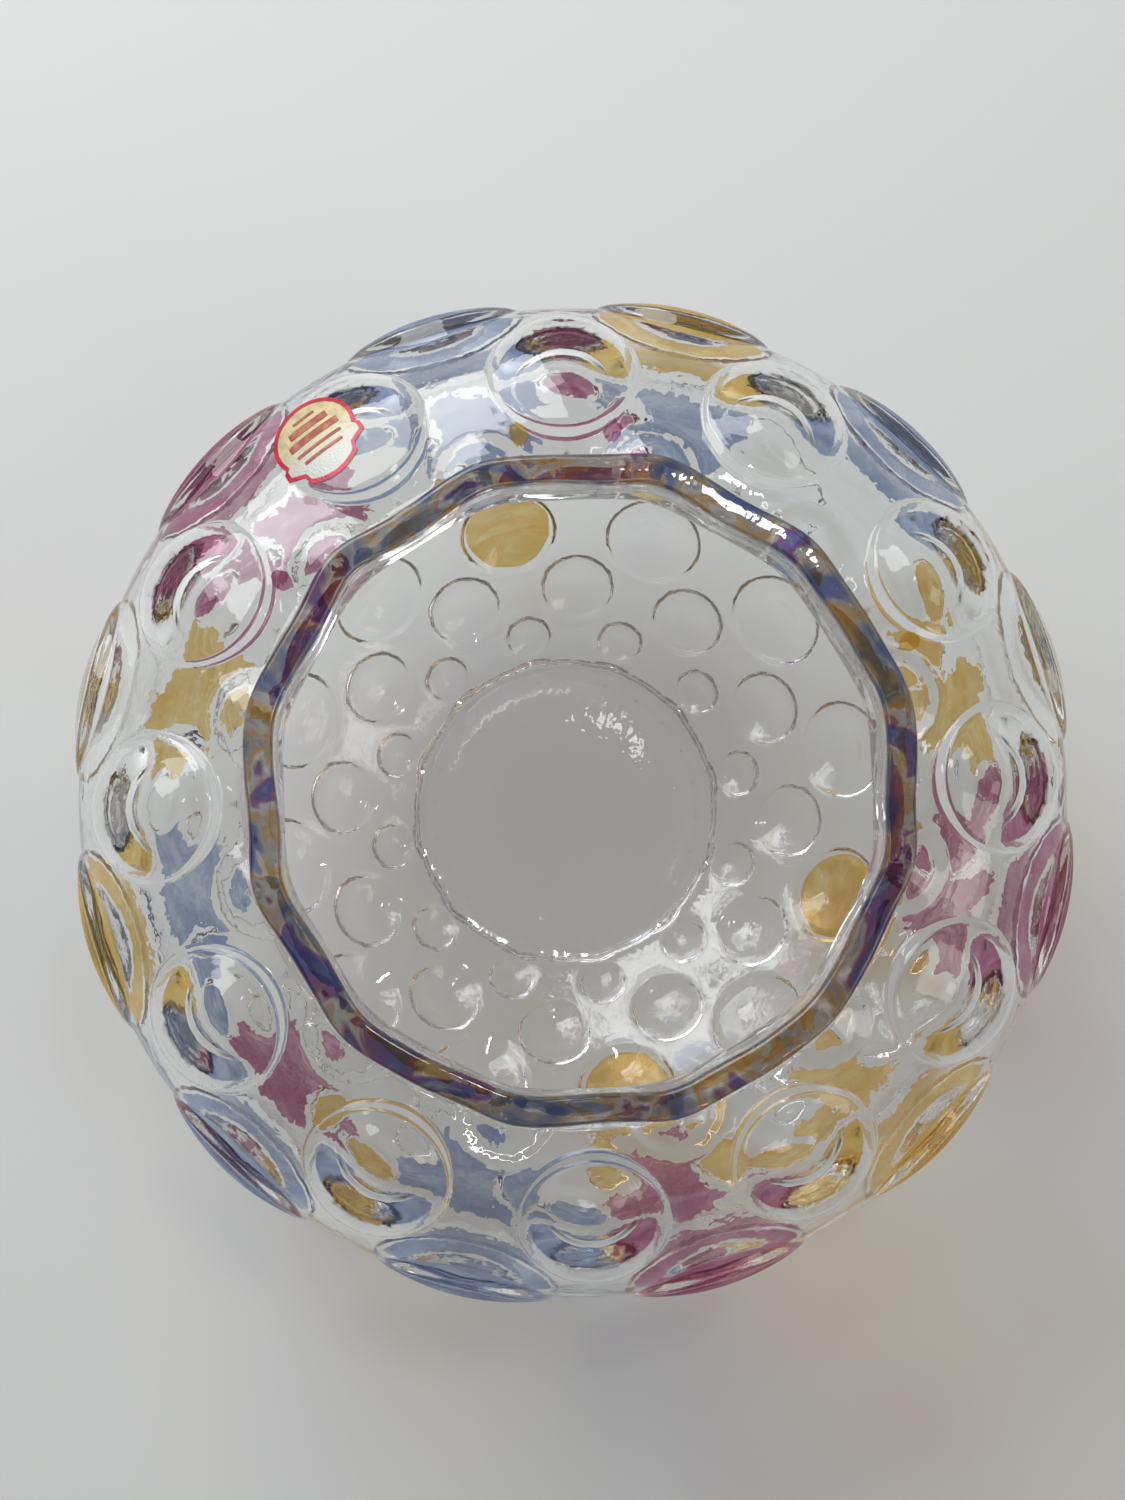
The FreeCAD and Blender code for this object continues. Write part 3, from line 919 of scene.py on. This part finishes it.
def printed_material(name, colour, worn, metallic, roughness, grain, far=None):
    """Foil or ink on foil: a colour that wears towards another, with a fine embossed grain."""
    material, nodes, links = new_material(name)
    place = nodes.new("ShaderNodeTexCoord")
    patches = add_node(nodes, "ShaderNodeTexNoise", Scale=700.0, Detail=4.0)
    ramp = nodes.new("ShaderNodeValToRGB")
    ramp.color_ramp.elements[0].position = 0.38
    ramp.color_ramp.elements[0].color = (*worn, 1)
    ramp.color_ramp.elements[1].position = 0.58
    ramp.color_ramp.elements[1].color = (*colour, 1)
    emboss = add_node(nodes, "ShaderNodeTexNoise", Scale=grain, Detail=2.0)
    bump = add_node(nodes, "ShaderNodeBump", Strength=0.35, Distance=0.0002)
    shader = add_node(nodes, "ShaderNodeBsdfPrincipled", Metallic=metallic, Roughness=roughness)
    out = nodes.new("ShaderNodeOutputMaterial")
    links.new(place.outputs["Object"], patches.inputs["Vector"])
    links.new(place.outputs["Object"], emboss.inputs["Vector"])
    links.new(patches.outputs["Fac"], ramp.inputs["Fac"])
    colours = ramp.outputs["Color"]
    if far:
        colours = foil_fade(nodes, links, place, colours, far)
    links.new(colours, shader.inputs["Base Color"])
    links.new(emboss.outputs["Fac"], bump.inputs["Height"])
    links.new(bump.outputs["Normal"], shader.inputs["Normal"])
    links.new(shader.outputs[0], out.inputs["Surface"])
    return material


# ---------------------------------------------------------------- the pieces

def piece(name, slot, material, points, faces, smooth=True):
    """One finished piece in place of its CAD node."""
    made = mesh_object(name + "_finished", points, faces, smooth)
    made.data.materials.append(material)
    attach(made, "root")
    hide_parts(name)
    return made


def add_glass():
    """The blown glass itself."""
    points, faces = glass_mesh()
    piece("glass_body", "clear_glass", glass_material(), points, faces)


def add_stains():
    """Every stain film, straddling the skin of the glass."""
    tints = {name: stain_material(name + "_stain", *colours) for name, colours in STAIN_COLOURS.items()}
    for name, (row, azimuths, colour) in LENS_STAINS.items():
        lens = Lens(ROWS[row], False)
        films = []
        for azimuth in azimuths:
            place = face_place(lens, math.radians(azimuth))
            films.append(sheet(lens_outline(lens.row, azimuth), place, FILM_UNDER, FILM_OVER, 1.0))
        piece(name, colour + "_stain", tints[colour], *joined(films))
    for name, (azimuths, colour) in WEB_STAINS.items():
        films = []
        for azimuth in azimuths:
            place = wall_place(math.radians(azimuth), WEB_S)
            films.append(sheet(web_outline(azimuth), place, FILM_UNDER, FILM_OVER, 1.0))
        piece(name, colour + "_stain", tints[colour], *joined(films))
    stroke_s = length_at(STROKE_RADIUS, SHOULDER_TOP, False)
    for name, (azimuths, colour) in STROKE_STAINS.items():
        films = []
        for azimuth in azimuths:
            place = wall_place(math.radians(azimuth), stroke_s)
            films.append(sheet(stroke_outline(azimuth), place, FILM_UNDER, FILM_OVER, 0.6))
        piece(name, colour + "_stain", tints[colour], *joined(films))


# The label: a crested shield, its rounded end towards the belly.
LABEL_TURN = math.radians(330)
LABEL_OFFSET = 4.8
LABEL_DROP = 1.6
LABEL_HALF_WIDTH = 6.5
LABEL_HALF_LENGTH = 7.25
LABEL_BORDER = 0.68
# Layers: the lifts of their under and upper sides. Bars: middle, width and height.
LABEL_LAYERS = {"glue": (0.0, 0.05), "foil": (0.05, 0.17), "print": (0.17, 0.23)}
LABEL_BARS = [(2.7, 6.4, 0.55), (1.2, 7.4, 0.55), (-0.75, 8.2, 1.25), (-2.75, 6.4, 1.25), (-4.5, 3.6, 0.5)]


def arc_between(start, middle, end, count):
    """Points of the circle through three points, from the first to the last."""
    (ax, ay), (bx, by), (cx, cy) = start, middle, end
    d = 2 * (ax * (by - cy) + bx * (cy - ay) + cx * (ay - by))
    a2, b2, c2 = ax * ax + ay * ay, bx * bx + by * by, cx * cx + cy * cy
    ux = (a2 * (by - cy) + b2 * (cy - ay) + c2 * (ay - by)) / d
    uy = (a2 * (cx - bx) + b2 * (ax - cx) + c2 * (bx - ax)) / d
    radius = math.hypot(ax - ux, ay - uy)
    first, _, last = np.unwrap([math.atan2(y - uy, x - ux) for x, y in (start, middle, end)])
    turns = np.linspace(first, last, count)
    return [(ux + radius * math.cos(t), uy + radius * math.sin(t)) for t in turns]


def shield(inset):
    """The label's outline in the lens plane, clockwise side first."""
    wide = (LABEL_HALF_WIDTH - inset) / LABEL_HALF_WIDTH
    tall = (LABEL_HALF_LENGTH - inset) / LABEL_HALF_LENGTH
    base = arc_between((-6.0, 1.4), (0.0, -7.25), (6.0, 1.4), 40)
    crest = arc_between((3.9, 5.9), (0.0, 7.25), (-3.9, 5.9), 16)
    corners = base + [(6.5, 1.9), (6.5, 3.3), (4.3, 4.5)] + crest + [(-4.3, 4.5), (-6.5, 3.3), (-6.5, 1.9)]
    return [(x * wide - LABEL_OFFSET, y * tall - LABEL_DROP) for x, y in corners]


def bar_outline(y, width, height):
    """A plain bar with cut corners."""
    half, rise, cut = width / 2, height / 2, 0.12
    count = max(2, round(width / 0.9))
    low = [(-half + cut + (width - 2 * cut) * i / count, y - rise) for i in range(count + 1)]
    top = [(x, y + rise) for x, _ in reversed(low)]
    outline = low + [(half, y - rise + cut), (half, y + rise - cut)] + top
    outline += [(-half, y + rise - cut), (-half, y - rise + cut)]
    return [(x - LABEL_OFFSET, v - LABEL_DROP) for x, v in outline]


def add_label():
    """The four layers of the label."""
    lens = Lens(ROWS[6], False)
    place = face_place(lens, LABEL_TURN)
    foil = printed_material("label_foil", (0.60, 0.50, 0.28), (0.46, 0.38, 0.22), 0.35, 0.5, 2600.0,
                            far=(0.50, 0.49, 0.46))
    red = printed_material("label_red", (0.56, 0.012, 0.045), (0.34, 0.01, 0.03), 0.1, 0.30, 2600.0)
    ink = printed_material("label_gold_print", (0.30, 0.055, 0.03), (0.42, 0.16, 0.09), 0.15, 0.45, 3000.0)
    glue = printed_material("label_adhesive", (0.70, 0.67, 0.58), (0.60, 0.57, 0.50), 0.0, 0.6, 2000.0)
    layers = LABEL_LAYERS
    under = sheet(shield(0.15), place, *layers["glue"], 0.9)
    piece("label_adhesive", "label_adhesive", glue, *under, smooth=False)
    face = sheet(shield(0.0), place, *layers["foil"], 0.9)
    piece("label_foil", "label_foil", foil, *face, smooth=False)
    border = sheet(shield(0.0), place, *layers["print"], 0.5, hole=shield(LABEL_BORDER))
    piece("label_border", "label_red", red, *border, smooth=False)
    bars = [sheet(bar_outline(*bar), place, *layers["print"], 0.4) for bar in LABEL_BARS]
    piece("label_print_bars", "label_gold_print", ink, *joined(bars), smooth=False)


# ---------------------------------------------------------------- the setting

def add_floor():
    """A wide pale floor."""
    mesh = bpy.data.meshes.new("floor")
    size = 8.0
    corners = [(-size, -size, 0), (size, -size, 0), (size, size, 0), (-size, size, 0)]
    mesh.from_pydata(corners, [], [(0, 1, 2, 3)])
    floor = bpy.data.objects.new("floor", mesh)
    bpy.context.scene.collection.objects.link(floor)
    material, nodes, links = new_material("pale_floor")
    paint = add_node(nodes, "ShaderNodeBsdfPrincipled", Base_Color=(0.78, 0.79, 0.785, 1), Roughness=0.85)
    out = nodes.new("ShaderNodeOutputMaterial")
    links.new(paint.outputs[0], out.inputs["Surface"])
    mesh.materials.append(material)


def add_lamp(name, place, target, size, power, colour):
    """A rectangular soft lamp that looks at a target."""
    light = bpy.data.lights.new(name, "AREA")
    light.shape = "RECTANGLE"
    light.size, light.size_y = size
    light.energy = power
    light.color = colour
    lamp = bpy.data.objects.new(name, light)
    lamp.location = place
    lamp.rotation_euler = (Vector(target) - Vector(place)).to_track_quat("-Z", "Y").to_euler()
    bpy.context.scene.collection.objects.link(lamp)


def add_world():
    """Soft room light: pale on the window side, warmer and darker on the other."""
    world = bpy.data.worlds.new("room")
    bpy.context.scene.world = world
    world.use_nodes = True
    nodes = world.node_tree.nodes
    links = world.node_tree.links
    nodes.clear()
    place = nodes.new("ShaderNodeTexCoord")
    split = nodes.new("ShaderNodeSeparateXYZ")
    ramp = nodes.new("ShaderNodeValToRGB")
    scale = nodes.new("ShaderNodeMapRange")
    scale.inputs["From Min"].default_value = -1.0
    sky = nodes.new("ShaderNodeBackground")
    out = nodes.new("ShaderNodeOutputWorld")
    ramp.color_ramp.elements[0].position = 0.25
    ramp.color_ramp.elements[0].color = (0.26, 0.22, 0.18, 1)
    ramp.color_ramp.elements[1].position = 0.62
    ramp.color_ramp.elements[1].color = (0.60, 0.62, 0.62, 1)
    links.new(place.outputs["Generated"], split.inputs[0])
    links.new(split.outputs["Y"], scale.inputs["Value"])
    links.new(scale.outputs[0], ramp.inputs["Fac"])
    links.new(ramp.outputs["Color"], sky.inputs["Color"])
    links.new(sky.outputs[0], out.inputs["Surface"])
    sky.inputs["Strength"].default_value = 0.3


def add_camera():
    """Looks down into the mouth, with the belly's middle and the axis where the view has them."""
    axis = Vector((AXIS_RIGHT, AXIS_UP, math.sqrt(1 - AXIS_RIGHT ** 2 - AXIS_UP ** 2)))
    up = Vector((math.sin(ROLL), math.cos(ROLL), 0.0))
    up = (up - axis * up.dot(axis)).normalized()
    side = up.cross(axis)
    object_to_view = Matrix((side, up, axis)).transposed()
    view_to_object = object_to_view.transposed()
    place = Vector((0, 0, BELLY_Z)) - view_to_object @ BELLY_IN_VIEW
    data = bpy.data.cameras.new("camera")
    data.lens = FOCAL_LENGTH
    data.sensor_width = FILM_LONG_SIDE
    data.clip_start = 0.01
    camera = bpy.data.objects.new("camera", data)
    camera.matrix_world = Matrix.Translation(place * MM) @ view_to_object.to_4x4()
    bpy.context.scene.collection.objects.link(camera)
    bpy.context.scene.camera = camera


def set_light_paths():
    """Enough bounces for light to find its way through four glass surfaces and more."""
    cycles = bpy.context.scene.cycles
    cycles.max_bounces = 24
    cycles.transmission_bounces = 24
    cycles.glossy_bounces = 12
    cycles.transparent_max_bounces = 40
    cycles.caustics_refractive = False
    cycles.caustics_reflective = False
    cycles.use_denoising = True


add_glass()
add_stains()
add_label()
add_floor()
add_world()
add_lamp("window", (-0.35, 0.65, 0.58), (0, 0, 0.06), (0.7, 0.7), 8.5, (0.97, 0.99, 1.0))
add_lamp("small_window", (0.10, 0.16, 0.80), (0, 0, 0.08), (0.05, 0.09), 0.5, (1.0, 0.99, 0.97))
add_lamp("fill", (0.8, -0.3, 0.7), (0, 0, 0.05), (0.4, 0.4), 1.4, (1.0, 0.96, 0.90))
add_camera()
set_light_paths()
bpy.context.scene.view_settings.view_transform = "Standard"

bpy.context.view_layer.update()
